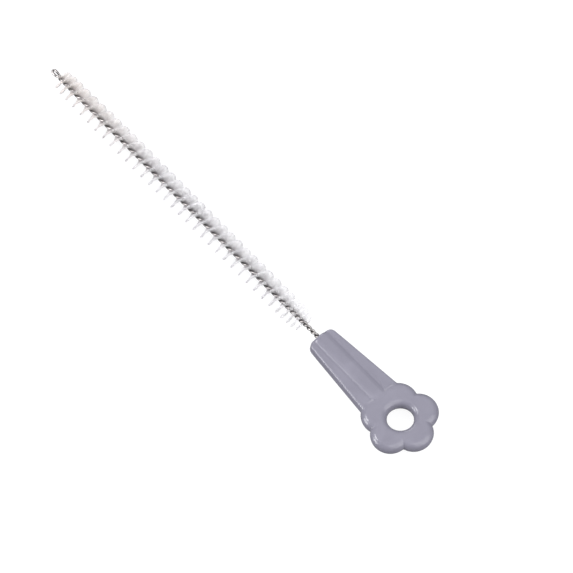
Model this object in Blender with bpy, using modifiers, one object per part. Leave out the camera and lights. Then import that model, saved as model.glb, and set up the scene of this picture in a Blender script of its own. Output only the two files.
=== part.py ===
"""A small bottle brush: one steel wire folded in half and twisted, nylon bristles held in the twist,
and a moulded handle that ends in a five-petal flower with a hanging hole.

The brush lies along X, with the fold of the wire at the -X end and the flower at the +X end.
The flower faces up, +Z. The origin is under the middle of the brush, level with its lowest bristle.
Lengths are in metres, and a distance "from the fold" runs along the brush from the wire's tip.
"""

import math

import bmesh
import bpy
import numpy as np

# The twisted wire
WIRE_REACH = 0.1450
WIRE_DIAMETER = 0.00080
WIRE_LEG_SPACING = 0.00130
WIRE_TAIL = 0.0150
FOLD_STRAIGHT = 0.0024
FOLD_EASE = 0.0015
# Length of a full turn of the twist, at distances from the fold, then at distances back from the handle
FOLD_PLACES = (0.0042, 0.0150, 0.0562, 0.0632)
FOLD_LEADS = (0.00416, 0.00825, 0.00845, 0.0080)
TAIL_PLACES = (0.0470, 0.0250, 0.0190, 0.0140, 0.0050)
TAIL_LEADS = (0.0082, 0.0084, 0.0066, 0.00495, 0.00406)
TWIST_START = math.radians(160)

# The bristles, from their start by the fold to the bare wire in front of the handle
BRISTLE_START = 0.0046
BARE_WIRE = 0.0077
BRISTLE_RADIUS = 0.0048
# Radius of the brush where it swells, at distances from the fold, and where it shrinks, back from the handle
SWELL_PLACES = (BRISTLE_START, 0.0080, 0.0357)
SWELL_RADII = (0.0036, 0.0042, BRISTLE_RADIUS)
SHRINK_PLACES = (0.0140, 0.0095, BARE_WIRE)
SHRINK_RADII = (BRISTLE_RADIUS, 0.0045, 0.0034)
BRISTLE_NODES = 18
STRAND_PAIRS = 12
STRIP_WIDTH = 0.0010
STRIP_THICKNESS = 0.00012
STRAND_TIP_SHARE = 0.6

# The neck of the handle
NECK_LENGTH = 0.0438
NECK_END_WIDTH = 0.0116
NECK_ROOT_WIDTH = 0.0179
NECK_ROOT_CLEARANCE = 0.0006
PANEL_THICKNESS = 0.0048
NECK_EDGE = 0.0010
NECK_EDGE_POWER = 2.6
END_EDGE = 0.0010
END_BOW = 0.0007
RIB_TOP_WIDTH = 0.0028
RIB_FOOT_WIDTH = 0.0064

# The flower
PETALS = 5
FLOWER_THICKNESS = 0.0058
PETAL_CIRCLE_RADIUS = 0.00715
PETAL_RADIUS = 0.00725
PETAL_EDGE = 0.0025
HOLE_RADIUS = 0.0049
HOLE_FLARE = 0.0024
HOLE_STRAIGHT = 0.0005

# Clearance round the wire's tail, overrun of cuts, and what counts as one point
SOCKET_CLEARANCE = 0.0003
CUT_OVERRUN = 0.0010
MERGE_DISTANCE = 0.00001

# Counts
WIRE_POINTS_PER_TURN = 9
PETAL_SIDES = 36
HOLE_SIDES = 36
SOCKET_SIDES = 24
EDGE_STEPS = 5
RIB_STEPS = 4
END_STEPS = 4
HOLE_STEPS = 5
TABLE_STEPS = 3400

# Places that follow from the sizes
OVERALL_LENGTH = WIRE_REACH + NECK_LENGTH + PETAL_CIRCLE_RADIUS + PETAL_RADIUS
FOLD_X = -OVERALL_LENGTH / 2
HANDLE_X = FOLD_X + WIRE_REACH
HOLE_X = HANDLE_X + NECK_LENGTH
AXIS_Z = BRISTLE_RADIUS
FLARE_RADIUS = HOLE_RADIUS + HOLE_FLARE

# Places from the fold, with the sizes that go with them
TWIST_PLACES = FOLD_PLACES + tuple(WIRE_REACH - place for place in TAIL_PLACES)
TWIST_LEADS = FOLD_LEADS + TAIL_LEADS
BRUSH_PLACES = SWELL_PLACES + tuple(WIRE_REACH - place for place in SHRINK_PLACES)
BRUSH_RADII = SWELL_RADII + SHRINK_RADII
BRISTLE_END = WIRE_REACH - BARE_WIRE


def clear_scene():
    for item in list(bpy.data.objects):
        bpy.data.objects.remove(item, do_unlink=True)


def new_collection(name):
    group = bpy.data.collections.new(name)
    bpy.context.scene.collection.children.link(group)
    return group


def new_material(name, colour, roughness, metallic):
    material = bpy.data.materials.new(name)
    material.use_nodes = True
    shader = material.node_tree.nodes["Principled BSDF"]
    shader.inputs["Base Color"].default_value = (*colour, 1)
    shader.inputs["Roughness"].default_value = roughness
    shader.inputs["Metallic"].default_value = metallic
    material.diffuse_color = (*colour, 1)
    return material


def new_object(name, data, group, material=None):
    item = bpy.data.objects.new(name, data)
    group.objects.link(item)
    if material:
        data.materials.append(material)
    return item


def mesh_from(name, points, faces):
    mesh = bpy.data.meshes.new(name)
    mesh.from_pydata([tuple(point) for point in points], [], faces)
    mesh.update()
    return mesh


def smooth_round_faces(item):
    mesh = item.data
    mesh.shade_smooth()
    mesh.set_sharp_from_angle(angle=math.radians(40))


def make_cutter(item):
    item.hide_render = True
    item.display_type = "WIRE"
    return item


def combine(target, other, operation):
    step = target.modifiers.new(f"{operation.lower()} {other.name}", "BOOLEAN")
    step.operation = operation
    step.solver = "EXACT"
    step.object = other


def turned(name, profile, sides, group, location):
    """A shape turned about its own Z axis from (radius, height) points that run from top to bottom."""
    edges = [(i, i + 1) for i in range(len(profile) - 1)]
    mesh = bpy.data.meshes.new(name)
    mesh.from_pydata([(radius, 0, height) for radius, height in profile], edges, [])
    item = new_object(name, mesh, group)
    item.location = location
    screw = item.modifiers.new("turn", "SCREW")
    screw.axis = "Z"
    screw.steps = sides
    screw.render_steps = sides
    screw.use_merge_vertices = True
    screw.merge_threshold = MERGE_DISTANCE
    return item


def twist_rate(reach):
    """Turn of the wire pair, in radians a metre, at distances from the fold."""
    lead = np.interp(reach, TWIST_PLACES, TWIST_LEADS)
    ease = np.clip((reach - FOLD_STRAIGHT) / FOLD_EASE, 0, 1)
    return 2 * math.pi / lead * ease * ease * (3 - 2 * ease)


def twist_table():
    """Distances from the fold, and the angle that the wire pair has turned through at each."""
    reach = np.linspace(0, WIRE_REACH + WIRE_TAIL, TABLE_STEPS)
    rate = twist_rate(reach)
    turned_by = np.concatenate([[0], np.cumsum((rate[1:] + rate[:-1]) / 2 * np.diff(reach))])
    return reach, turned_by


TABLE_REACH, TABLE_TURN = twist_table()


def turn_at(reach):
    return np.interp(reach, TABLE_REACH, TABLE_TURN)


def reach_at(turn):
    """The distance from the fold at which the pair has turned this far, past the straight hairpin."""
    twisted = TABLE_REACH > FOLD_STRAIGHT
    return np.interp(turn, TABLE_TURN[twisted], TABLE_REACH[twisted])


def across(angle):
    """Unit vectors square to the brush axis. The twist is left-handed, so the angle runs backwards."""
    angle = TWIST_START - np.asarray(angle)
    return np.stack([np.zeros_like(angle), np.cos(angle), np.sin(angle)], axis=-1)


def on_axis(reach):
    reach = np.asarray(reach)
    height = np.full_like(reach, AXIS_Z)
    return np.stack([FOLD_X + reach, np.zeros_like(reach), height], axis=-1)


def wire_route():
    """One leg from its tail in the handle to the fold, round the hairpin, and the other leg back."""
    bend_radius = WIRE_LEG_SPACING / 2
    bend_reach = bend_radius + WIRE_DIAMETER / 2
    last_turn = TABLE_TURN[-1]
    count = math.ceil(last_turn / (2 * math.pi) * WIRE_POINTS_PER_TURN)
    turns = np.linspace(0, last_turn, count + 1)[1:]
    reach = np.concatenate([[bend_reach], reach_at(turns)])
    leg = on_axis(reach)
    side = across(turn_at(reach)) * bend_radius
    bend = np.linspace(0, math.pi, WIRE_POINTS_PER_TURN + 2)[1:-1]
    out = on_axis(bend_reach - bend_radius * np.sin(bend))
    hairpin = out + np.cos(bend)[:, None] * across(0) * bend_radius
    return np.concatenate([(leg + side)[::-1], hairpin, leg - side])


def least_gap(route, diameter):
    """The least gap of a tube to itself, measured between points of its route that aren't neighbours."""
    step = np.linalg.norm(np.diff(route, axis=0), axis=1)
    along = np.concatenate([[0], np.cumsum(step)])
    fine = np.linspace(0, along[-1], TABLE_STEPS)
    points = np.stack([np.interp(fine, along, route[:, i]) for i in range(3)], axis=1)
    apart = np.linalg.norm(points[:, None] - points[None], axis=2)
    near = np.abs(fine[:, None] - fine[None]) < math.pi / 2 * WIRE_LEG_SPACING
    return apart[~near].min() - diameter


def add_wire(group, material):
    """The core: one round wire, folded at the tip, with both tails in the handle's socket."""
    route = wire_route()
    curve = bpy.data.curves.new("core_wire", "CURVE")
    curve.dimensions = "3D"
    curve.bevel_depth = WIRE_DIAMETER / 2
    curve.bevel_resolution = 1
    curve.use_fill_caps = True
    spline = curve.splines.new("POLY")
    spline.points.add(len(route) - 1)
    spline.points.foreach_set("co", np.column_stack([route, np.ones(len(route))]).ravel())
    new_object("core_wire", curve, group, material)
    gap = least_gap(route, WIRE_DIAMETER)
    print(f"core_wire: {len(route)} points, least gap to itself {gap * 1000:.2f} mm")


def bristle_mesh(name, first_turn, turn_span):
    """About a turn of bristles: a thin twisted strip, pinched between the legs, with strands on both edges.

    The strip is a grid of four corners at each angle. Strands stand on every other segment of it,
    and the last segment is left out, as a gap to the next node. Each strand is a tapered prism
    whose foot is the strip's own edge face, so the strands and the strip are one solid.
    """
    segments = 2 * STRAND_PAIRS - 1
    turns = first_turn + turn_span * np.arange(segments + 1) / (segments + 1)
    reach = reach_at(turns)
    centre = on_axis(reach)
    outward = across(turns + math.pi / 2)
    thick = across(turns) * STRIP_THICKNESS / 2
    half = STRIP_WIDTH / 2
    corners = [centre + side * half * outward + face * thick for side, face in ((1, 1), (1, -1), (-1, -1), (-1, 1))]
    points = list(np.stack(corners, axis=1).reshape(-1, 3))
    faces = [(3, 2, 1, 0), tuple(4 * segments + i for i in range(4))]
    for i in range(segments):
        a, b = 4 * i, 4 * i + 4
        faces.append((a + 1, a + 2, b + 2, b + 1))
        faces.append((a + 3, a, b, b + 3))
        middle_turn = (turns[i] + turns[i + 1]) / 2
        middle = on_axis(reach_at(middle_turn))
        length = np.interp(reach_at(middle_turn), BRUSH_PLACES, BRUSH_RADII)
        for side, edge in ((1, (a, a + 1, b + 1, b)), (-1, (a + 2, a + 3, b + 3, b + 2))):
            if i % 2:
                faces.append(edge)
                continue
            direction = side * across(middle_turn + math.pi / 2)
            foot = np.mean([points[k] for k in edge], axis=0)
            tip = middle + direction * length
            first = len(points)
            points += [tip + (points[k] - foot) * STRAND_TIP_SHARE for k in edge]
            ring = range(4)
            faces += [(edge[k], edge[(k + 1) % 4], first + (k + 1) % 4, first + k) for k in ring]
            faces.append(tuple(first + k for k in ring))
    return mesh_from(name, points, faces)


def outward_normals(item):
    work = bmesh.new()
    work.from_mesh(item.data)
    bmesh.ops.recalc_face_normals(work, faces=work.faces)
    work.to_mesh(item.data)
    work.free()


def add_bristles(group, material):
    """The bristles, shared out in nodes of equal twist, each just under a full turn."""
    first = turn_at(BRISTLE_START)
    span = (turn_at(BRISTLE_END) - first) / BRISTLE_NODES
    for i in range(BRISTLE_NODES):
        name = f"bristle_turn_{i + 1:02d}"
        mesh = bristle_mesh(name, first + span * i, span)
        outward_normals(new_object(name, mesh, group, material))
    strands = 2 * STRAND_PAIRS * BRISTLE_NODES
    print(f"bristles: {BRISTLE_NODES} nodes of {math.degrees(span):.0f} degrees, {strands} strands")


def quarter_section(half_width):
    """A quarter of the neck's section, from the rib's middle to the side edge, as (y, z) from the axis.

    The rib's flat top falls to the side panel along half a cosine wave. The panel ends in a quarter of
    a superellipse, whose power of more than two gives a tighter corner and a nearly upright side wall.
    """
    rib_top = RIB_TOP_WIDTH / 2
    rib_foot = RIB_FOOT_WIDTH / 2
    high = FLOWER_THICKNESS / 2
    low = PANEL_THICKNESS / 2
    share = np.linspace(0, 1, RIB_STEPS + 1)
    shoulder_y = rib_top + (rib_foot - rib_top) * share
    shoulder_z = low + (high - low) * (1 + np.cos(math.pi * share)) / 2
    angle = np.linspace(math.pi / 2, 0, EDGE_STEPS + 1)
    edge_y = half_width - NECK_EDGE + NECK_EDGE * np.abs(np.cos(angle)) ** (2 / NECK_EDGE_POWER)
    edge_z = low * np.abs(np.sin(angle)) ** (2 / NECK_EDGE_POWER)
    y = np.concatenate([[0], shoulder_y, edge_y])
    z = np.concatenate([[high], shoulder_z, edge_z])
    return y, z


def neck_ring(place):
    """The whole section at a distance from the end face, drawn in near that face to round its rim."""
    width = NECK_END_WIDTH + (NECK_ROOT_WIDTH - NECK_END_WIDTH) * place / neck_body_length()
    y, z = quarter_section(width / 2)
    inset = END_EDGE - math.sqrt(max(END_EDGE**2 - max(END_EDGE - place, 0) ** 2, 0))
    y = y * (1 - inset / (width / 2))
    z = z - inset * z / (FLOWER_THICKNESS / 2)
    ring_y = np.concatenate([y, y[-2::-1], -y[1:], -y[-2:0:-1]])
    ring_z = np.concatenate([z, -z[-2::-1], -z[1:], z[-2:0:-1]])
    bow = END_BOW * (ring_y / (NECK_END_WIDTH / 2)) ** 2 * max(1 - place / (NECK_END_WIDTH / 2), 0)
    x = HANDLE_X + place + bow
    return np.stack([x, ring_y, AXIS_Z + ring_z], axis=1)


def neck_body_length():
    """The neck's body ends inside the petals, just short of the hole's rounded rim."""
    return NECK_LENGTH - FLARE_RADIUS - NECK_ROOT_CLEARANCE


def add_neck(group, material):
    """The tapered neck: sections lofted along X, with a raised rib and a bowed, rounded end."""
    angle = np.linspace(0, math.pi / 2, END_STEPS + 1)
    places = list(END_EDGE * (1 - np.cos(angle)))
    places += [NECK_END_WIDTH / 2, neck_body_length()]
    rings = [neck_ring(place) for place in places]
    count = len(rings[0])
    faces = []
    for i in range(len(rings) - 1):
        for k in range(count):
            a, b = i * count, (i + 1) * count
            faces.append((a + k, a + (k + 1) % count, b + (k + 1) % count, b + k))
    half = count // 2
    last = (len(rings) - 1) * count
    for start in (0, last):
        quarter = half // 2
        for k in range(quarter):
            right = (start + k, start + k + 1, start + half - k - 1, start + half - k)
            left = (
                start + (count - k) % count,
                start + half + k,
                start + half + k + 1,
                start + count - k - 1,
            )
            for quad in (right, left):
                corners = tuple(dict.fromkeys(quad))
                faces.append(corners)
    item = new_object("handle", mesh_from("handle", np.concatenate(rings), faces), group, material)
    outward_normals(item)
    return item


def petal_profile():
    """Half a puffy disc: a flat top, then half an ellipse round the rim, then the flat back."""
    high = FLOWER_THICKNESS / 2
    flat = PETAL_RADIUS - PETAL_EDGE
    angle = np.linspace(math.pi / 2, -math.pi / 2, 2 * EDGE_STEPS + 1)
    rim = [(flat + PETAL_EDGE * math.cos(a), high * math.sin(a)) for a in angle]
    return [(0, high), *rim, (0, -high)]


def hole_profile():
    """The hanging hole's plug: straight at mid thickness, and flared to both faces to round their rims."""
    high = FLOWER_THICKNESS / 2
    straight = HOLE_STRAIGHT / 2
    last = math.radians(75)
    angle = np.linspace(0, last, HOLE_STEPS + 1)
    radius = HOLE_RADIUS + HOLE_FLARE * (1 - np.cos(angle)) / (1 - math.cos(last))
    height = straight + (high - straight) * np.sin(angle) / math.sin(last)
    slope = HOLE_FLARE * math.sin(last) / (1 - math.cos(last))
    slope /= (high - straight) * math.cos(last) / math.sin(last)
    past = (radius[-1] + slope * CUT_OVERRUN, height[-1] + CUT_OVERRUN)
    upper = [*zip(radius, height), past]
    top = upper[::-1]
    return [(0, past[1]), *top, *[(r, -h) for r, h in upper], (0, -past[1])]


def add_handle(group, cutters, material):
    """The moulded handle: the neck, five petals joined to it, the hanging hole and the wire's socket."""
    handle = add_neck(group, material)
    for i in range(PETALS):
        angle = 2 * math.pi * i / PETALS
        place = (
            HOLE_X + PETAL_CIRCLE_RADIUS * math.cos(angle),
            PETAL_CIRCLE_RADIUS * math.sin(angle),
            AXIS_Z,
        )
        petal = turned(f"petal_form_{i + 1}", petal_profile(), PETAL_SIDES, cutters, place)
        combine(handle, make_cutter(petal), "UNION")
    hole = turned("hole_cut", hole_profile(), HOLE_SIDES, cutters, (HOLE_X, 0, AXIS_Z))
    combine(handle, make_cutter(hole), "DIFFERENCE")
    combine(handle, make_cutter(add_socket_cut(cutters)), "DIFFERENCE")
    smooth_round_faces(handle)
    return handle


def add_socket_cut(cutters):
    """A round bore for the twisted wire, open at the end face."""
    radius = (WIRE_LEG_SPACING + WIRE_DIAMETER) / 2 + SOCKET_CLEARANCE
    depth = CUT_OVERRUN + WIRE_TAIL + SOCKET_CLEARANCE
    work = bmesh.new()
    bmesh.ops.create_cone(
        work, cap_ends=True, segments=SOCKET_SIDES, radius1=radius, radius2=radius, depth=depth
    )
    mesh = bpy.data.meshes.new("socket_cut")
    work.to_mesh(mesh)
    work.free()
    item = new_object("socket_cut", mesh, cutters)
    item.rotation_euler = (0, math.pi / 2, 0)
    item.location = (HANDLE_X - CUT_OVERRUN + depth / 2, 0, AXIS_Z)
    return item


def build():
    clear_scene()
    parts = new_collection("bottle_brush")
    cutters = new_collection("forms_and_cutters")
    plastic = new_material("moulded lilac grey plastic", (0.34, 0.33, 0.39), 0.38, 0)
    steel = new_material("drawn stainless wire", (0.62, 0.61, 0.60), 0.25, 1)
    nylon = new_material("clear white nylon", (0.85, 0.84, 0.82), 0.45, 0)
    add_handle(parts, cutters, plastic)
    add_wire(parts, steel)
    add_bristles(parts, nylon)


build()
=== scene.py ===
# %% [markdown]
# # A bottle brush with a flower handle
#
# The brush is three things. One steel wire is folded in half and twisted, the twist grips some
# thousands of nylon filaments, and a plastic handle is moulded onto the wire's tails.
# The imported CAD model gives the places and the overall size. This script dresses it in fine geometry
# and materials, and stays inside its box: each new piece takes the place of a plain CAD node.

import math

import bmesh
import bpy
import numpy as np
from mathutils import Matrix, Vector


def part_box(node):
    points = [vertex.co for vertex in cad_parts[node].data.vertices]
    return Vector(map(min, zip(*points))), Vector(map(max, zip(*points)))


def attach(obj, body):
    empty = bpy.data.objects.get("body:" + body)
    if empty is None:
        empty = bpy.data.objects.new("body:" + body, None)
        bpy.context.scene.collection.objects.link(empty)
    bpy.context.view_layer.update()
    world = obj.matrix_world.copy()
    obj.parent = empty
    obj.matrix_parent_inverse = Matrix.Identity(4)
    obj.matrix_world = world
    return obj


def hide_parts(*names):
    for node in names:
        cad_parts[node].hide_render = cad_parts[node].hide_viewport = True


MM = 0.001
MERGE = 0.0001 * MM
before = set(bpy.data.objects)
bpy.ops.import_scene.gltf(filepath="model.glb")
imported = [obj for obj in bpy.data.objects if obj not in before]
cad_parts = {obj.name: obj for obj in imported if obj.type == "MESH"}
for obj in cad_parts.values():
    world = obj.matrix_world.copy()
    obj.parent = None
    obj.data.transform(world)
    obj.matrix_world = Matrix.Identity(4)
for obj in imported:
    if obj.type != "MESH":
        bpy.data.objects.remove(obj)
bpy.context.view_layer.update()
print("CAD nodes:", len(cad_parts))

# %% [markdown]
# ## Places that every piece shares
#
# The brush lies along X, with the fold of the wire at the low end and the flower at the high end.
# The wire's axis runs at mid height of the handle. These places are read from the CAD nodes,
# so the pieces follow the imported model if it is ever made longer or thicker.

# %% Read the places from the CAD nodes
wire_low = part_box("core_wire")[0]
handle_low, handle_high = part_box("handle")
FOLD_X = wire_low.x
HANDLE_X = handle_low.x
AXIS_Z = (handle_low.z + handle_high.z) / 2
WIRE_REACH = HANDLE_X - FOLD_X
HALF_THICKNESS = (handle_high.z - handle_low.z) / 2
print(f"wire {WIRE_REACH / MM:.1f} mm to the handle, handle {2 * HALF_THICKNESS / MM:.1f} mm thick")

# %% [markdown]
# ## The helpers
#
# A mesh here is always worked out as whole numpy arrays. One function numbers the four-cornered faces
# of a grid of points, and one turns points and faces into an object. Where grids meet, their points
# lie on top of each other, so another welds them. Colours are picked as sRGB hex values, the way they
# look on a screen, while Blender's shaders want linear light, so one function converts them. The last
# two start a material, and add a shader node with its settings and links.


# %% Define the helpers
def add_piece(name, points, faces, material, uv=None):
    """A mesh object from points (n, 3) and faces (m, 4), with optional UVs (n, 2) for each point."""
    mesh = bpy.data.meshes.new(name)
    mesh.vertices.add(len(points))
    mesh.vertices.foreach_set("co", np.asarray(points, np.float32).ravel())
    mesh.loops.add(faces.size)
    mesh.loops.foreach_set("vertex_index", faces.ravel().astype(np.int32))
    mesh.polygons.add(len(faces))
    mesh.polygons.foreach_set("loop_start", np.arange(0, faces.size, 4, dtype=np.int32))
    mesh.update(calc_edges=True)
    if uv is not None:
        layer = mesh.uv_layers.new(name="UVMap")
        layer.data.foreach_set("uv", uv[faces.ravel()].astype(np.float32).ravel())
    mesh.shade_smooth()
    mesh.materials.append(material)
    piece = bpy.data.objects.new(name, mesh)
    bpy.context.scene.collection.objects.link(piece)
    return piece


def grid_faces(rows, columns, closed=False):
    """Corner numbers of the quads of a grid of points, row after row.

    A closed grid joins its last column to its first.
    """
    this_row = np.arange(rows - 1)[:, None] * columns
    next_row = this_row + columns
    column = np.arange(columns if closed else columns - 1)[None]
    after = (column + 1) % columns
    corners = (this_row + column, this_row + after, next_row + after, next_row + column)
    return np.stack(corners, axis=-1).reshape(-1, 4)


def weld(piece):
    """Merges the points that lie together and turns all faces outwards. Returns the count of open edges."""
    work = bmesh.new()
    work.from_mesh(piece.data)
    bmesh.ops.remove_doubles(work, verts=work.verts, dist=MERGE)
    bmesh.ops.dissolve_degenerate(work, edges=work.edges, dist=MERGE)
    bmesh.ops.recalc_face_normals(work, faces=work.faces)
    open_edges = sum(not edge.is_manifold for edge in work.edges)
    work.to_mesh(piece.data)
    work.free()
    piece.data.shade_smooth()
    return open_edges


def linear(colour):
    """Linear RGBA from an sRGB hex colour such as "9D9BA8".

    A dark share is divided by 12.92, and any other is raised to a power of 2.4.
    """
    share = np.array([int(colour[i : i + 2], 16) for i in (0, 2, 4)]) / 255
    light = np.where(share <= 0.04045, share / 12.92, ((share + 0.055) / 1.055) ** 2.4)
    return (*light, 1)


def add_node(material, kind, settings=None, **inputs):
    """A node with its settings. Each input is a value or the socket that feeds it.

    An input goes by its name, with _ for a space, or by its number after an i where names repeat.
    """
    tree = material.node_tree
    node = tree.nodes.new(kind)
    for name, value in (settings or {}).items():
        setattr(node, name, value)
    for name, value in inputs.items():
        number = name.strip("i")
        socket = node.inputs[int(number) if number.isdigit() else name.replace("_", " ")]
        if isinstance(value, bpy.types.NodeSocket):
            tree.links.new(value, socket)
        else:
            socket.default_value = value
    return node


def new_material(name):
    """A material with a Principled shader, which is returned too."""
    material = bpy.data.materials.new(name)
    material.use_nodes = True
    return material, material.node_tree.nodes["Principled BSDF"]


# %% [markdown]
# ## The handle's plastic
#
# The handle is polypropylene, injection moulded in a lilac grey. A polished mould leaves it semi-glossy:
# highlights are bright but soft at their edges. Nothing on such a part is one flat colour. The pigment
# flows with the melt, so the tone drifts by up to a tenth over about a centimetre, and a faint grain
# from the mould, here 0.25 mm wide, breaks up the gloss. The real grain is finer, but would not show.

# %% Make the moulded plastic
GRAIN = 0.25 * MM
GRAIN_DEPTH = 0.02 * MM
FLOW = 9 * MM


def moulded_plastic():
    """Plastic whose tone follows the melt's flow, and whose gloss and bump follow the mould's grain."""
    material, shader = new_material("moulded polypropylene, lilac grey")
    place = add_node(material, "ShaderNodeTexCoord").outputs["Object"]
    flow = add_node(material, "ShaderNodeTexNoise", Vector=place, Scale=1 / FLOW, Detail=4.0, Distortion=0.6)
    tone = add_node(material, "ShaderNodeValToRGB", Fac=flow.outputs["Fac"])
    tone.color_ramp.elements[0].position = 0.3
    tone.color_ramp.elements[0].color = linear("716F7B")
    tone.color_ramp.elements[1].position = 0.7
    tone.color_ramp.elements[1].color = linear("777581")
    grain = add_node(material, "ShaderNodeTexNoise", Vector=place, Scale=1 / GRAIN, Detail=2.0)
    gloss = add_node(material, "ShaderNodeMapRange", Value=grain.outputs["Fac"], To_Min=0.14, To_Max=0.24)
    bump = add_node(
        material, "ShaderNodeBump", Height=grain.outputs["Fac"], Strength=0.10, Distance=GRAIN_DEPTH
    )
    links = material.node_tree.links
    links.new(tone.outputs["Color"], shader.inputs["Base Color"])
    links.new(gloss.outputs["Result"], shader.inputs["Roughness"])
    links.new(bump.outputs["Normal"], shader.inputs["Normal"])
    shader.inputs["IOR"].default_value = 1.49
    return material


PLASTIC = moulded_plastic()
print("made", PLASTIC.name)

# %% [markdown]
# ## The shape of the handle
#
# A Boolean of cylinders would give hard creases between the petals, but a mould is cut with a round
# tool, so its creases are soft. Here the handle is a field instead: at each point of the plan, a formula
# gives the square of the half thickness, as a share of the full one. Each petal is a disc whose rim
# falls off as an ellipse. The neck is a wedge with a raised rib. A smooth maximum joins them, and
# rounds each crease over a set width. Where the field is zero, the top and the back of the handle meet.

# %% Write the handle's field
PETALS = 5
PETAL_RADIUS = 7.25 * MM
PETAL_CIRCLE = 7.15 * MM
PETAL_EDGE = 2.5 * MM
CREASE = 0.30 * MM
HOLE_RADIUS = 4.9 * MM
HOLE_STRAIGHT = 0.15 * MM
HOLE_FLARE = 2.4 * MM
NECK_END = 5.8 * MM
NECK_ROOT = 8.95 * MM
NECK_BODY = 35.9 * MM
NECK_EDGE = 1.3 * MM
NECK_EDGE_POWER = 3.8
PANEL_HALF = 2.42
FLOWER_HALF = 2.9
PANEL_SHARE = PANEL_HALF / FLOWER_HALF
RIB_TOP = 1.0 * MM
RIB_FOOT = 3.2 * MM
GROOVE_WIDTH = 0.45 * MM
GROOVE_SHARE = 0.050
JOIN_SHARE = 0.30
PARTING = 0.05 * MM
FAR_OUTSIDE = -9.0
HALVINGS = 50
HOLE_X = handle_high.x - PETAL_CIRCLE - PETAL_RADIUS
NECK_LENGTH = HOLE_X - HANDLE_X


def smooth_max(a, b, width):
    """The greater of two fields, plus a quarter of a parabola where they are within width of each other."""
    near = np.maximum(width - np.abs(a - b), 0)
    return np.maximum(a, b) + near * near / (4 * width)


def neck_half_width(x):
    """The neck's sides are straight lines that spread from its end to the flower.

    Here x is measured from the hole's centre, as in all that follows.
    """
    return NECK_END - PARTING + (NECK_ROOT - NECK_END) * (x + NECK_LENGTH) / NECK_BODY


def rib_share(y):
    """The rib's crown is level with the flower, and its shoulder is half a cosine wave.

    Along its foot runs a shallow groove, a bell curve across.
    """
    fall = np.clip((np.abs(y) - RIB_TOP) / (RIB_FOOT - RIB_TOP), 0, 1)
    groove = GROOVE_SHARE * np.exp(-(((np.abs(y) - RIB_FOOT) / GROOVE_WIDTH) ** 2))
    return PANEL_SHARE + (1 - PANEL_SHARE) * (1 + np.cos(math.pi * fall)) / 2 - groove


def rim_share(inside, edge):
    """Square of a petal's share of the thickness: 1 - (1 - d/edge) squared, at a distance d from the outline.

    Further in than the edge it is one.
    """
    return 1 - np.maximum(1 - inside / edge, 0) ** 2


def side_share(inside):
    """Square of the neck's share, which is 1 - (1 - d/edge) ** power at a distance d from the outline.

    So the side leans in a little and has a tight corner. The sign is kept: it is negative outside.
    """
    share = 1 - np.maximum(1 - inside / NECK_EDGE, 0) ** NECK_EDGE_POWER
    return share * np.abs(share)


def handle_field(x, y):
    """Square of the share of the handle's half thickness at a point of the plan.

    It is negative outside the outline.
    """
    inside = np.full_like(x, FAR_OUTSIDE)
    for i in range(PETALS):
        angle = 2 * math.pi * i / PETALS
        away = np.hypot(x - PETAL_CIRCLE * math.cos(angle), y - PETAL_CIRCLE * math.sin(angle))
        inside = smooth_max(inside, PETAL_RADIUS - PARTING - away, CREASE)
    flower = rim_share(inside, PETAL_EDGE)
    neck = side_share(neck_half_width(x) - np.abs(y)) * rib_share(y) ** 2
    neck = np.where(x < NECK_BODY - NECK_LENGTH, neck, FAR_OUTSIDE)
    return np.minimum(smooth_max(flower, neck, JOIN_SHARE), 1)


def outline_reach(direction, low, high):
    """Distance from the hole's centre to the outline in each direction, found by halving the interval."""
    low = np.full(len(direction), low)
    high = np.full(len(direction), high)
    for _ in range(HALVINGS):
        middle = (low + high) / 2
        inside = handle_field(middle * np.cos(direction), middle * np.sin(direction)) > 0
        low = np.where(inside, middle, low)
        high = np.where(inside, high, middle)
    return (low + high) / 2


print(f"hole at x = {HOLE_X / MM:.1f} mm, neck {NECK_LENGTH / MM:.1f} mm long")

# %% [markdown]
# ## The handle as three grids
#
# A grid of points follows the form, so its lines bend where the surface bends. The flower is a polar
# grid: rays run from the hole's rim to the outline. The neck is a straight grid of sections, and its end
# face is a third. The rays that point at the neck stop on one straight line across it, and the neck's
# columns start from those same points, so the grids share their seam. All three are the upper half
# only. The lower half is the same points mirrored in the parting plane, where the two halves of the
# mould met. There the moulding has a fine raised witness line, which is why the field was drawn
# 0.05 mm small.

# %% Work out the flower's grid
SEAM_X = -14.0 * MM
RIM_ANGLES = np.radians([0, 1.2, 2.4, 4, 6, 9, 13, 18, 24, 31, 39, 48, 57, 64, 71, 78, 84, 90])
RIM_REACH = 0.6
RAY_STEP = math.radians(1.3)
WITNESS_HEIGHT = 0.10 * MM
WITNESS_REACH = 6
SLOPE_STEP = 0.001 * MM
LEAST_SLOPE = 1e-12
FOOT_MARGIN = 1.0 * MM
CROWN_COLUMNS = 7
SHOULDER_COLUMNS = 30
PANEL_COLUMNS = 10
FACE_ROWS = 9
FLARE_ROWS = 12
THROAT_ROWS = np.array([0, 0.15, 0.3, 0.6])


def seam_columns():
    """Distances from the middle line at the seam.

    They are fine over the rib's shoulder and round the rim, and coarse on the flats.
    """
    half = neck_half_width(SEAM_X)
    rim = half - NECK_EDGE * (1 - np.cos(RIM_ANGLES))[::-1]
    flat = np.linspace(0, RIB_TOP, CROWN_COLUMNS)
    shoulder = np.linspace(RIB_TOP, RIB_FOOT + FOOT_MARGIN, SHOULDER_COLUMNS)[1:]
    panel = np.linspace(RIB_FOOT + FOOT_MARGIN, rim[0], PANEL_COLUMNS)[1:-1]
    side = np.concatenate([flat, shoulder, panel, rim])
    return np.concatenate([-side[:0:-1], side])


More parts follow.
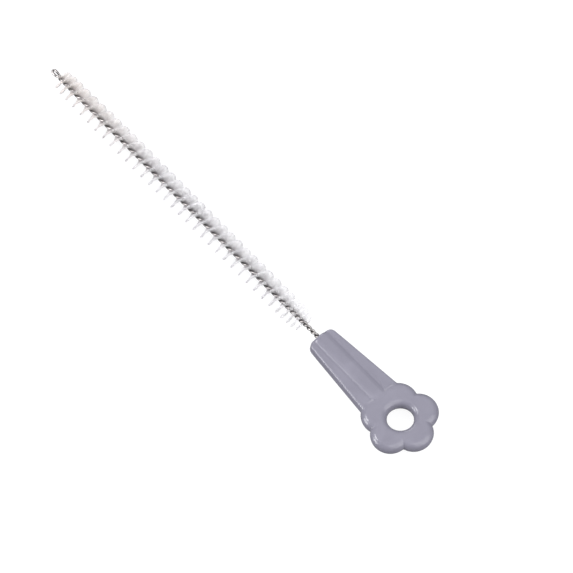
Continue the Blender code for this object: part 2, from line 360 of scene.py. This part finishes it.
def plan_normal(x, y):
    """Unit vector that points out of the outline: minus the field's slope, by a small step to each side."""
    slope = np.stack(
        [
            handle_field(x + SLOPE_STEP, y) - handle_field(x - SLOPE_STEP, y),
            handle_field(x, y + SLOPE_STEP) - handle_field(x, y - SLOPE_STEP),
        ]
    )
    return -slope / np.maximum(np.hypot(*slope), LEAST_SLOPE)


def witness(z):
    """Height of the raised line at a height z above the parting plane: a bell curve."""
    return PARTING * np.exp(-((z / WITNESS_HEIGHT) ** 2))


def surface(x, y):
    """Points on the upper half of the handle over plan points: z = half thickness * square root of the field.

    Near the parting plane they are pushed out by the witness line.
    """
    z = HALF_THICKNESS * np.sqrt(np.maximum(handle_field(x, y), 0))
    out = plan_normal(x, y) * np.where(z < WITNESS_REACH * WITNESS_HEIGHT, witness(z), 0)
    return np.stack([x + out[0], y + out[1], z], axis=-1)


def flower_grid():
    """Rows of points from the hole's throat, up its flare, and out to the outline or the seam, ray by ray."""
    columns = seam_columns()
    seam = np.arctan2(columns[::-1], SEAM_X) % (2 * math.pi)
    count = int((2 * math.pi - (seam[-1] - seam[0])) / RAY_STEP)
    free = np.linspace(seam[-1], seam[0] + 2 * math.pi, count)[1:-1]
    direction = np.concatenate([seam, free])
    start = HOLE_RADIUS + HOLE_FLARE
    reach = outline_reach(direction, start, 3 * PETAL_RADIUS)
    reach[: len(seam)] = SEAM_X / np.cos(seam)
    rim = 1 - RIM_REACH * (1 - np.cos(RIM_ANGLES))[::-1]
    share = np.concatenate([np.linspace(0, rim[0], FACE_ROWS)[1:-1], rim])[:, None]
    radius = start + (reach - start) * share
    face = surface(radius * np.cos(direction), radius * np.sin(direction))
    bend = np.linspace(0, math.pi / 2, FLARE_ROWS)[:, None]
    flare = HOLE_RADIUS + HOLE_FLARE * (1 - np.cos(bend)) + 0 * direction
    height = HOLE_STRAIGHT + (HALF_THICKNESS - HOLE_STRAIGHT) * np.sin(bend) + 0 * direction
    wall_height = HOLE_STRAIGHT * THROAT_ROWS[:, None] + 0 * direction
    wall = HOLE_RADIUS - witness(wall_height)
    inner = np.concatenate([wall, flare])
    rise = np.concatenate([wall_height, height])
    inner = np.stack([inner * np.cos(direction), inner * np.sin(direction), rise], axis=-1)
    return np.concatenate([inner, face])


flower = flower_grid()
print("flower grid:", flower.shape[0], "rows of", flower.shape[1])

# %% [markdown]
# ## The neck and its end
#
# The neck narrows towards the wire, but its rib keeps one width and its edges one rounding. So the
# columns over the rib run straight, those over the rim shift with the edge, and only those on the flat
# panels draw together. The last two millimetres shrink along quarter circles, one for the thickness and
# a wider one for the corners, and the end face bows back a little at its sides, as the photograph shows.

# %% Work out the neck's grid and join the handle
END_ROUND = 1.2 * MM
CORNER_ROUND = 2.0 * MM
END_BOW = 0.6 * MM
ROUND_ROWS = 18
BOWED_ROWS = 9
STRAIGHT_ROWS = 46
END_ROWS = np.array([0, 0.03, 0.06, 0.12, 0.3, 0.6])


def neck_rows():
    """Distances of the sections from the end face: the rounded end, the bowed stretch, the straight neck."""
    rounding = CORNER_ROUND * (1 - np.cos(np.linspace(0, math.pi / 2, ROUND_ROWS)))
    bowed = np.linspace(CORNER_ROUND, NECK_END, BOWED_ROWS)[1:]
    straight = np.linspace(NECK_END, NECK_LENGTH + SEAM_X, STRAIGHT_ROWS)[1:]
    return np.concatenate([rounding, bowed, straight])


def quarter_inset(place, radius):
    """How far a quarter circle stands back at a distance from the end: radius * (1 - sin(turn))."""
    turn = np.arccos(np.clip(1 - place / radius, 0, 1))
    return radius * (1 - np.sin(turn))


def neck_grid():
    """The upper half of the end face, then of the neck, section by section from the end to the seam."""
    at_seam = seam_columns()
    place = neck_rows()[:, None]
    half = neck_half_width(place - NECK_LENGTH)
    seam_half = neck_half_width(SEAM_X)
    away = np.abs(at_seam)[None]
    foot = RIB_FOOT + FOOT_MARGIN
    panel = foot + (away - foot) / (seam_half - NECK_EDGE - foot) * (half - NECK_EDGE - foot)
    y = np.where(away > seam_half - NECK_EDGE, away + half - seam_half, np.where(away > foot, panel, away))
    y = y * np.sign(at_seam)
    points = surface(place - NECK_LENGTH + 0 * y, y)
    inset = quarter_inset(place, END_ROUND)
    shrunk = 1 - quarter_inset(place, CORNER_ROUND) / NECK_END
    bow = END_BOW * (points[..., 1] * shrunk / NECK_END) ** 2 * np.maximum(1 - place / NECK_END, 0)
    points[..., 0] += bow
    points[..., 1] *= shrunk
    points[..., 2] *= 1 - inset / HALF_THICKNESS
    rise = END_ROWS[:, None, None]
    face = points[:1] * [1, 1, 0] + points[:1] * [0, 0, 1] * rise
    face[..., 0] -= witness(face[..., 2])
    return np.concatenate([face, points])


def close_handle():
    """Joins the grids and their mirror images: the same points with minus z, and the faces run backwards."""
    neck = neck_grid()
    points = np.concatenate([flower.reshape(-1, 3), neck.reshape(-1, 3)])
    faces = np.concatenate([
        grid_faces(flower.shape[0], flower.shape[1], closed=True),
        grid_faces(neck.shape[0], neck.shape[1]) + flower.size // 3,
    ])
    points = np.concatenate([points, points * [1, 1, -1]])
    faces = np.concatenate([faces, faces[:, ::-1] + len(points) // 2])
    points = points + [HOLE_X, 0, AXIS_Z]
    piece = add_piece("moulded_handle", points, faces, PLASTIC)
    open_edges = weld(piece)
    print(f"handle: {len(piece.data.polygons)} faces, {open_edges} open edges")
    return piece


handle = close_handle()
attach(handle, "root")
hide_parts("handle")

# %% [markdown]
# ## How the wire is twisted
#
# The wire is folded in half, the filaments are laid between its two legs, and the fold is spun. Each
# leg becomes a helix. One full turn, the lead, is about 8 mm long here, and it tightens at both ends,
# where few filaments or none keep the legs apart. The lead is given at a few places. Its inverse,
# summed up along the brush, gives the angle that the pair has turned through at any place.

# %% Sum up the twist
TABLE_STEPS = 4000
WIRE_TAIL = 15 * MM
FOLD_STRAIGHT = 2.0 * MM
FOLD_EASE = 1.4 * MM
TWIST_START = math.radians(199)
FOLD_PLACES = np.array([4.2, 15.0, 56.2, 63.2]) * MM
FOLD_LEADS = np.array([4.16, 8.25, 8.45, 8.0]) * MM
TAIL_PLACES = np.array([47.0, 25.0, 19.0, 14.0, 5.0]) * MM
TAIL_LEADS = np.array([8.2, 8.4, 6.6, 4.95, 4.06]) * MM
LEAD_PLACES = np.concatenate([FOLD_PLACES, WIRE_REACH - TAIL_PLACES])
LEADS = np.concatenate([FOLD_LEADS, TAIL_LEADS])

reach_table = np.linspace(0, WIRE_REACH + WIRE_TAIL, TABLE_STEPS)
ease = np.clip((reach_table - FOLD_STRAIGHT) / FOLD_EASE, 0, 1)
rate = 2 * math.pi / np.interp(reach_table, LEAD_PLACES, LEADS) * ease * ease * (3 - 2 * ease)
turn_table = np.concatenate([[0], np.cumsum((rate[1:] + rate[:-1]) / 2 * np.diff(reach_table))])
twisted = reach_table > FOLD_STRAIGHT


def turn_at(reach):
    """Angle that the pair has turned through at a distance from the fold."""
    return np.interp(reach, reach_table, turn_table)


def reach_at(turn):
    """Distance from the fold at which the pair has turned through an angle."""
    return np.interp(turn, turn_table[twisted], reach_table[twisted])


def across(turn):
    """Unit vectors from the axis towards one leg. The twist is left-handed, so the angle runs backwards."""
    angle = TWIST_START - np.asarray(turn)
    return np.stack([np.zeros_like(angle), np.cos(angle), np.sin(angle)], axis=-1)


def on_axis(reach):
    """Points on the brush's axis at distances from the fold."""
    reach = np.asarray(reach)
    return np.stack([FOLD_X + reach, np.zeros_like(reach), np.full_like(reach, AXIS_Z)], axis=-1)


print(f"the pair turns {turn_table[-1] / (2 * math.pi):.1f} times")

# %% [markdown]
# ## The steel of the wire
#
# The wire is stainless, drawn through a die, and left bright. Drawing leaves fine lines along the wire,
# so the noise is stretched about thirty times in that direction, which the UV map follows: U runs along
# the wire in millimetres, and V once round it. In the groove where the legs press together, light is
# lost, so an attribute that is one on the inner side darkens the steel there: this is painted shade.

# %% Make the drawn steel
LINES_ROUND = 14
LINE_LENGTH = 6.0
LINE_DEPTH = 0.01 * MM


def drawn_steel():
    """Steel whose tone, polish and bump follow the drawing lines, with painted shade where the legs meet."""
    material, shader = new_material("drawn stainless wire")
    uv = add_node(material, "ShaderNodeUVMap", {"uv_map": "UVMap"}).outputs["UV"]
    stretched = add_node(material, "ShaderNodeMapping", Vector=uv, Scale=(1 / LINE_LENGTH, LINES_ROUND, 1))
    along = stretched.outputs["Vector"]
    lines = add_node(material, "ShaderNodeTexNoise", Vector=along, Scale=1.0, Detail=3.0)
    groove = add_node(material, "ShaderNodeAttribute", {"attribute_name": "groove"}).outputs["Fac"]
    bright = add_node(material, "ShaderNodeValToRGB", Fac=lines.outputs["Fac"])
    bright.color_ramp.elements[0].position = 0.3
    bright.color_ramp.elements[0].color = linear("827E7D")
    bright.color_ramp.elements[1].position = 0.7
    bright.color_ramp.elements[1].color = linear("B0ACAB")
    # Painted shade: the groove attribute mixes the steel towards near black on the inner side of each leg.
    tone = add_node(
        material,
        "ShaderNodeMix",
        {"data_type": "RGBA"},
        Factor=groove,
        i6=bright.outputs["Color"],
        i7=linear("1C1A1A"),
    )
    polish = add_node(material, "ShaderNodeMapRange", Value=lines.outputs["Fac"], To_Min=0.20, To_Max=0.30)
    bump = add_node(
        material, "ShaderNodeBump", Height=lines.outputs["Fac"], Strength=0.25, Distance=LINE_DEPTH
    )
    links = material.node_tree.links
    links.new(tone.outputs[2], shader.inputs["Base Color"])
    links.new(polish.outputs["Result"], shader.inputs["Roughness"])
    links.new(bump.outputs["Normal"], shader.inputs["Normal"])
    shader.inputs["Metallic"].default_value = 1.0
    return material


STEEL = drawn_steel()
print("made", STEEL.name)

# %% [markdown]
# ## The wire
#
# The wire is one tube: a circle carried along the route from one tail, round the hairpin at the fold and
# back to the other tail. Each circle stands square to the route, and its first point faces away from the
# other leg, so that the rings do not twist against each other and the groove is easy to find. In the
# brush the legs are held apart by the filaments, and in the bare stretch before the handle they close up.
# At the fold they stand open as a small loop. The photograph shows that loop nearly face-on, so the
# fold is turned 39 degrees further here than in the CAD model, and the twist takes that up at once.
# The CAD model's solids need clear gaps, so its wire is 0.80 mm thick and its legs stand 1.3 mm apart
# all along. Here the wire has its full 0.87 mm.

# %% Carry a circle along the wire's route
WIRE_RADIUS = 0.435 * MM
FOLD_SPACING = 1.30 * MM
BRUSH_SPACING = 1.04 * MM
BARE_SPACING = 0.89 * MM
FOLD_END = 4.8 * MM
CLOSE_UP = 5.0 * MM
BARE_START = 10.0 * MM
RINGS_PER_TURN = 26
STRAIGHT_RINGS = 6
BEND_RINGS = 18
WIRE_SIDES = 18
GROOVE_SHADE_FADE = 0.90


def leg_spacing(reach):
    """Distance between the legs' middles: widest round the fold, and closed up in the bare stretch.

    Between these it follows a smooth step, 3 t squared - 2 t cubed.
    """
    bare = np.clip((reach - (WIRE_REACH - BARE_START)) / CLOSE_UP, 0, 1)
    fold = np.clip((FOLD_END - reach) / (FOLD_END - FOLD_STRAIGHT), 0, 1)
    wide = (FOLD_SPACING - BRUSH_SPACING) * fold * fold * (3 - 2 * fold)
    return BRUSH_SPACING + wide + (BARE_SPACING - BRUSH_SPACING) * bare * bare * (3 - 2 * bare)


def wire_route():
    """Points along the wire and, at each, the unit vector that faces away from the other leg.

    A leg's point is on the axis plus or minus half the spacing, and the hairpin is half a circle.
    """
    bend_radius = FOLD_SPACING / 2
    bend_reach = bend_radius + WIRE_RADIUS
    count = int(turn_table[-1] / (2 * math.pi) * RINGS_PER_TURN)
    turns = np.linspace(0, turn_table[-1], count + 1)[1:]
    straight = np.linspace(bend_reach, FOLD_STRAIGHT, STRAIGHT_RINGS)[:-1]
    reach = np.concatenate([straight, reach_at(turns)])
    side = across(turn_at(reach))
    offset = side * leg_spacing(reach)[:, None] / 2
    bend = np.linspace(0, math.pi, BEND_RINGS)[1:-1, None]
    away = np.cos(bend) * across(0) - np.sin(bend) * [1, 0, 0]
    hairpin = on_axis(bend_reach) + away * bend_radius
    leg = on_axis(reach)
    route = np.concatenate([(leg + offset)[::-1], hairpin, leg - offset])
    facing = np.concatenate([side[::-1], away, -side])
    return route, facing


def wire_mesh():
    """A tube: point = route + radius * (cos * facing + sin * sideways), with a flat cap at each tail.

    The groove attribute, which paints shade, is one on the side that faces the other leg, and fades out round
    the wire.
    """
    route, facing = wire_route()
    ahead = np.gradient(route, axis=0)
    ahead /= np.linalg.norm(ahead, axis=1, keepdims=True)
    facing = facing - ahead * np.sum(facing * ahead, axis=1, keepdims=True)
    facing /= np.linalg.norm(facing, axis=1, keepdims=True)
    sideways = np.cross(ahead, facing)
    angle = np.linspace(0, 2 * math.pi, WIRE_SIDES, endpoint=False)[None, :, None]
    circle = np.cos(angle) * facing[:, None] + np.sin(angle) * sideways[:, None]
    rings = route[:, None] + WIRE_RADIUS * circle
    ends = np.stack([rings[0] * 0 + route[0], rings[-1] * 0 + route[-1]])
    rings = np.concatenate([ends[:1], rings, ends[1:]])
    along = np.concatenate([[0], np.cumsum(np.linalg.norm(np.diff(route, axis=0), axis=1))])
    along = np.concatenate([along[:1], along, along[-1:]]) / MM
    around = np.linspace(0, 1, WIRE_SIDES, endpoint=False)
    uv = np.stack(np.meshgrid(along, around, indexing="ij"), axis=-1)
    # Painted shade on the inner side: one where a leg faces the other leg, fading to nought round the wire.
    inner = np.clip((-np.cos(angle[0, :, 0]) - 1 + GROOVE_SHADE_FADE) / GROOVE_SHADE_FADE, 0, 1)
    groove = np.tile(inner, len(rings))
    faces = grid_faces(len(rings), WIRE_SIDES, closed=True)
    return rings.reshape(-1, 3), faces, uv.reshape(-1, 2), groove


def add_wire():
    """The tube as an object with its groove attribute of painted shade. Its caps are closed where their
    points are welded.
    """
    points, faces, uv, groove = wire_mesh()
    piece = add_piece("twisted_wire", points, faces, STEEL, uv)
    layer = piece.data.attributes.new("groove", "FLOAT", "POINT")
    layer.data.foreach_set("value", groove.astype(np.float32))
    open_edges = weld(piece)
    print(f"wire: {len(piece.data.polygons)} faces, {open_edges} open edges")
    return piece


wire = add_wire()
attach(wire, "root")
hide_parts("core_wire")

# %% [markdown]
# ## The nylon of the filaments
#
# The filaments are nylon, drawn thin and clear. One alone is like glass, but hundreds together
# scatter light until they look white. So the shader is mostly a pale surface, and about a quarter of
# the light passes through it, which turns the edge-on rows grey. U carries a tone for each filament,
# which streaks the rows, and V runs from the wire to the tip. Over the inner half the tone is darkened
# towards the wire, painted shade for the light that is lost where the filaments are packed, and the cut
# end is greyer. In the photograph the nylon is cream near the fold and cool white near the handle.

# %% Make the nylon
WARM_END = FOLD_X + 10 * MM
COOL_START = FOLD_X + 60 * MM


def clear_nylon():
    """Nylon whose tone runs from warm to cool along the brush, varies by U, and by V has painted shade
    towards the wire and a greyer cut end.
    """
    material, shader = new_material("drawn nylon filament, clear white")
    uv = add_node(material, "ShaderNodeUVMap", {"uv_map": "UVMap"}).outputs["UV"]
    parts = add_node(material, "ShaderNodeSeparateXYZ", Vector=uv)
    place = add_node(material, "ShaderNodeTexCoord").outputs["Object"]
    along = add_node(material, "ShaderNodeSeparateXYZ", Vector=place)
    cool = add_node(
        material, "ShaderNodeMapRange", Value=along.outputs["X"], From_Min=WARM_END, From_Max=COOL_START
    )
    pale = add_node(
        material,
        "ShaderNodeMix",
        {"data_type": "RGBA"},
        Factor=cool.outputs["Result"],
        i6=linear("FFFAF7"),
        i7=linear("FFFEFE"),
    )
    deep = add_node(
        material,
        "ShaderNodeMix",
        {"data_type": "RGBA"},
        Factor=cool.outputs["Result"],
        i6=linear("F2EBE7"),
        i7=linear("E6E4E7"),
    )
    streak = add_node(
        material, "ShaderNodeTexNoise", {"noise_dimensions": "1D"}, W=parts.outputs["X"], Scale=7.0
    )
    share = add_node(material, "ShaderNodeMapRange", Value=streak.outputs["Fac"], From_Min=0.3, From_Max=0.7)
    tone = add_node(
        material,
        "ShaderNodeMix",
        {"data_type": "RGBA"},
        Factor=share.outputs["Result"],
        i6=deep.outputs[2],
        i7=pale.outputs[2],
    )
    # Painted shade: along V the tone darkens towards the wire over the inner half, and the cut end is greyer.
    shade_and_grey_end = add_node(material, "ShaderNodeValToRGB", Fac=parts.outputs["Y"])
    stops = shade_and_grey_end.color_ramp.elements
    stops[0].color = linear("D4D0D2")
    stops[1].color = linear("D8D6DA")
    for position in (0.50, 0.86):
        stops.new(position).color = linear("FFFFFF")
    shaded_tone = add_node(
        material,
        "ShaderNodeMix",
        {"data_type": "RGBA", "blend_type": "MULTIPLY"},
        Factor=1.0,
        i6=tone.outputs[2],
        i7=shade_and_grey_end.outputs["Color"],
    )
    rough = add_node(material, "ShaderNodeMapRange", Value=streak.outputs["Fac"], To_Min=0.30, To_Max=0.50)
    links = material.node_tree.links
    links.new(shaded_tone.outputs[2], shader.inputs["Base Color"])
    links.new(rough.outputs["Result"], shader.inputs["Roughness"])
    shader.inputs["IOR"].default_value = 1.53
    shader.inputs["Transmission Weight"].default_value = 0.27
    return material


NYLON = clear_nylon()
print("made", NYLON.name)

# %% [markdown]
# ## The filaments
#
# Each filament passes between the two legs, so it stands square to the line that joins them, and
# both its ends show. As the pair turns, the filaments fan out into two ramps that wind round the wire.
# Seen along a ramp, they stack up into one thin spike. Seen across it, they spread into a rounded
# lobe. A barber's trim gives the brush its outer radius, a little less at the fold and at the handle.
# At the handle only a share of the filaments is kept. The two tables that end there, of the radius and
# of that share, count back from the handle. Each filament leans, bends and ends a little differently.
# About a dozen neighbours share most of one tone, which gives the lobes faint streaks.

# %% Work out all filaments as arrays
BRISTLE_START = 4.6 * MM
BARE_WIRE = 7.7 * MM
SWELL_PLACES = np.array([4.6, 8.0, 35.7]) * MM
SWELL_RADII = np.array([3.6, 4.2, 4.75]) * MM
SHRINK_PLACES = np.array([14.0, 9.5, 7.7]) * MM
SHRINK_RADII = np.array([4.75, 4.45, 3.35]) * MM
RADIUS_PLACES = np.concatenate([SWELL_PLACES, WIRE_REACH - SHRINK_PLACES])
RADII = np.concatenate([SWELL_RADII, SHRINK_RADII])
FILAMENTS_PER_MM = 40
JITTER = 0.65
KEEP_PLACES = np.array([7.7, 13.0, 17.5, 22.0]) * MM
KEEP_SHARES = np.array([0.55, 0.52, 0.62, 1.0])
FILAMENT_RADIUS = 0.052 * MM
TAPER = 0.30
LAYER = 0.24 * MM
LEAN = math.radians(2.2)
TILT = 0.020
BEND = 0.025
LENGTH_SPREAD = 0.014
THICKNESS_RANGE = (0.85, 1.15)
STATIONS = np.array([0.0, 0.3, 0.62, 1.0])
CLUMP = 0.30 * MM
CLUMP_SHARE = 0.9
NODES = 18


def scatter(first, last, random):
    """Places of the filaments between two angles of the twist: even steps, each with a part of one added.

    Near the handle a share of them is left out.
    """
    low, high = reach_at(first), reach_at(last)
    count = int((high - low) / MM * FILAMENTS_PER_MM)
    reach = low + (high - low) * (np.arange(count) + random.uniform(0, 1, count) * JITTER) / count
    keep = random.uniform(0, 1, count) < np.interp(WIRE_REACH - reach, KEEP_PLACES, KEEP_SHARES)
    return reach[keep]


def filament_rings(reach, side, random):
    """Square rings along bent filaments: path = root + length * (t * outward + t squared * bend).

    The array is (filaments, stations, 4, 3). The outward vector leans and tilts a little.
    """
    count = len(reach)
    turn = turn_at(reach) + math.pi / 2 + random.normal(0, LEAN, count)
    outward = side * across(turn)
    sideways = side * across(turn - math.pi / 2)
    forward = np.tile([1.0, 0, 0], (count, 1))
    length = np.interp(reach, RADIUS_PLACES, RADII) * (1 - np.abs(random.normal(0, LENGTH_SPREAD, count)))
    root = on_axis(reach) + sideways * random.uniform(-LAYER, LAYER, count)[:, None]
    tilt = random.normal(0, TILT, count)[:, None]
    bend = random.normal(0, BEND, (2, count, 1))
    t = STATIONS[None, :, None]
    path = t * (outward + tilt * forward)[:, None]
    path = path + t * t * (bend[0] * sideways + bend[1] * forward)[:, None]
    path = root[:, None] + length[:, None, None] * path
    thick = FILAMENT_RADIUS * random.uniform(*THICKNESS_RANGE, count)[:, None, None, None]
    thick = thick * (1 - TAPER * t[..., None])
    corners = np.stack([forward, sideways, -forward, -sideways], axis=1)[:, None]
    return path[:, :, None] + thick * corners


def filament_tones(reach, random):
    """A tone from nought to one for each filament, most of it shared with a clump of neighbours."""
    clump = ((reach - reach.min()) / CLUMP).astype(int)
    shared = random.uniform(0, 1, clump.max() + 1)[clump]
    return CLUMP_SHARE * shared + (1 - CLUMP_SHARE) * random.uniform(0, 1, len(reach))


def filament_faces(count):
    """Quads of each filament: its sides, and its two square ends."""
    stations = len(STATIONS)
    sides = grid_faces(stations, 4, closed=True)
    last = 4 * (stations - 1)
    ends = np.array([[3, 2, 1, 0], [last, last + 1, last + 2, last + 3]])
    one = np.concatenate([sides, ends])
    return (one[None] + 4 * stations * np.arange(count)[:, None, None]).reshape(-1, 4)


def add_filaments():
    """One piece for each CAD node of bristles, with filaments on both sides of the wire."""
    first = turn_at(BRISTLE_START)
    span = (turn_at(WIRE_REACH - BARE_WIRE) - first) / NODES
    total = 0
    for i in range(NODES):
        random = np.random.default_rng(i + 1)
        reach = scatter(first + span * i, first + span * (i + 1), random)
        rings = np.concatenate([filament_rings(reach, side, random) for side in (1, -1)])
        tones = np.concatenate([filament_tones(reach, random), filament_tones(reach, random)])
        count = len(rings)
        tone = np.broadcast_to(tones[:, None, None], rings.shape[:3])
        along = np.broadcast_to(STATIONS[None, :, None], rings.shape[:3])
        uv = np.stack([tone, along], axis=-1).reshape(-1, 2)
        piece = add_piece(f"filaments_{i + 1:02d}", rings.reshape(-1, 3), filament_faces(count), NYLON, uv)
        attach(piece, "root")
        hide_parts(f"bristle_turn_{i + 1:02d}")
        total += count
    print(f"filaments: {total} ends, {total * (4 * len(STATIONS) - 2)} faces")


add_filaments()

# %% [markdown]
# ## The floor
#
# The brush lies on a sheet of opal acrylic that is lit from below, as for many product pictures. It
# looks plain white, with hardly a shadow. Yet in the photograph the edges that face down stay dark,
# so the sheet is hidden from the light rays that leave the brush: it is seen, but it brightens nothing.

# %% Add the floor
FLOOR_SIZE = 4.0
ROLLER_MARK = 40 * MM


def opal_sheet():
    """Opal sheet with hardly visible marks of the roller, and light from within."""
    material, shader = new_material("opal acrylic sheet, lit from below")
    place = add_node(material, "ShaderNodeTexCoord").outputs["Object"]
    roller = add_node(material, "ShaderNodeTexNoise", Vector=place, Scale=1 / ROLLER_MARK, Detail=2.0)
    tone = add_node(material, "ShaderNodeValToRGB", Fac=roller.outputs["Fac"])
    tone.color_ramp.elements[0].color = linear("66666A")
    tone.color_ramp.elements[1].color = linear("6C6C6E")
    material.node_tree.links.new(tone.outputs["Color"], shader.inputs["Base Color"])
    shader.inputs["Emission Color"].default_value = linear("FFFFFF")
    shader.inputs["Emission Strength"].default_value = 0.90
    shader.inputs["Roughness"].default_value = 0.9
    shader.inputs["Specular IOR Level"].default_value = 0.1
    return material


half = FLOOR_SIZE / 2
corners = np.array([[-half, -half, 0], [half, -half, 0], [half, half, 0], [-half, half, 0]])
floor = add_piece("floor", corners, np.array([[0, 1, 2, 3]]), opal_sheet())
floor.visible_diffuse = False
floor.visible_glossy = False
print("floor", FLOOR_SIZE, "m wide")

# %% [markdown]
# ## The camera
#
# The photograph is almost without perspective, so the camera stands far off with a long lens. Its
# angle was found by fitting the flower's outline, and the known length and width of the brush.

# %% Aim the camera
CAMERA_AZIMUTH = math.radians(48.5)
CAMERA_ELEVATION = math.radians(62.7)
CAMERA_DISTANCE = 8.0
FRAME_WIDTH = 205.4 * MM
TARGET = Vector((20.15, 5.0, 4.8)) * MM


def view_direction(azimuth, elevation):
    """Unit vector of a look at the brush: along +Y at azimuth 0, and down by the elevation."""
    level = math.cos(elevation)
    return Vector((-math.sin(azimuth) * level, math.cos(azimuth) * level, -math.sin(elevation)))


forward = view_direction(CAMERA_AZIMUTH, CAMERA_ELEVATION)
camera_data = bpy.data.cameras.new("camera")
camera_data.sensor_width = 36
camera_data.lens = camera_data.sensor_width * CAMERA_DISTANCE / FRAME_WIDTH
camera = bpy.data.objects.new("camera", camera_data)
bpy.context.scene.collection.objects.link(camera)
camera.location = TARGET - forward * CAMERA_DISTANCE
camera.rotation_euler = forward.to_track_quat("-Z", "Y").to_euler()
bpy.context.scene.camera = camera
print(f"camera lens {camera_data.lens:.0f} mm")

# %% [markdown]
# ## The lights
#
# Each highlight in the photograph tells where a light stood, since it must reflect into the camera.
# The bright streaks on the petals' left edges need a small bright key light at the left. The neck's side
# needs a low one beside it, and the brush's lobes face a pair at the right. A wide one overhead
# fills the flats, and a weak one behind catches the fold. The world is pale above and dimmer below
# the horizon, which gives the steel its dark edges.

# %% Set up the lights
LIGHT_DISTANCE = 1.5


def add_light(name, azimuth, elevation, size, power):
    """A square area light that faces the brush from an azimuth and elevation of its own."""
    data = bpy.data.lights.new(name, "AREA")
    data.size = size
    data.energy = power
    lamp = bpy.data.objects.new(name, data)
    bpy.context.scene.collection.objects.link(lamp)
    direction = view_direction(math.radians(azimuth), math.radians(elevation))
    lamp.location = TARGET - direction * LIGHT_DISTANCE
    lamp.rotation_euler = direction.to_track_quat("-Z", "Y").to_euler()


add_light("key", azimuth=-47, elevation=46, size=0.5, power=9.0)
add_light("low left", azimuth=-30, elevation=12, size=0.8, power=15.0)
add_light("right", azimuth=96, elevation=40, size=2.0, power=22.5)
add_light("low right", azimuth=118, elevation=14, size=1.4, power=8.0)
add_light("overhead", azimuth=180, elevation=80, size=2.5, power=10.5)
add_light("behind", azimuth=-112, elevation=24, size=0.6, power=3.0)
world = bpy.data.worlds.new("studio")
bpy.context.scene.world = world
world.use_nodes = True
sky = world.node_tree.nodes["Background"]
sky.inputs["Color"].default_value = linear("F4F6FA")
direction = add_node(world, "ShaderNodeTexCoord").outputs["Generated"]
height = add_node(world, "ShaderNodeSeparateXYZ", Vector=direction)
glow = add_node(
    world,
    "ShaderNodeMapRange",
    Value=height.outputs["Z"],
    From_Min=-0.25,
    From_Max=0.45,
    To_Min=0.30,
    To_Max=0.66,
)
world.node_tree.links.new(glow.outputs["Result"], sky.inputs["Strength"])
bpy.context.scene.view_settings.view_transform = "Standard"
print("lights ready")
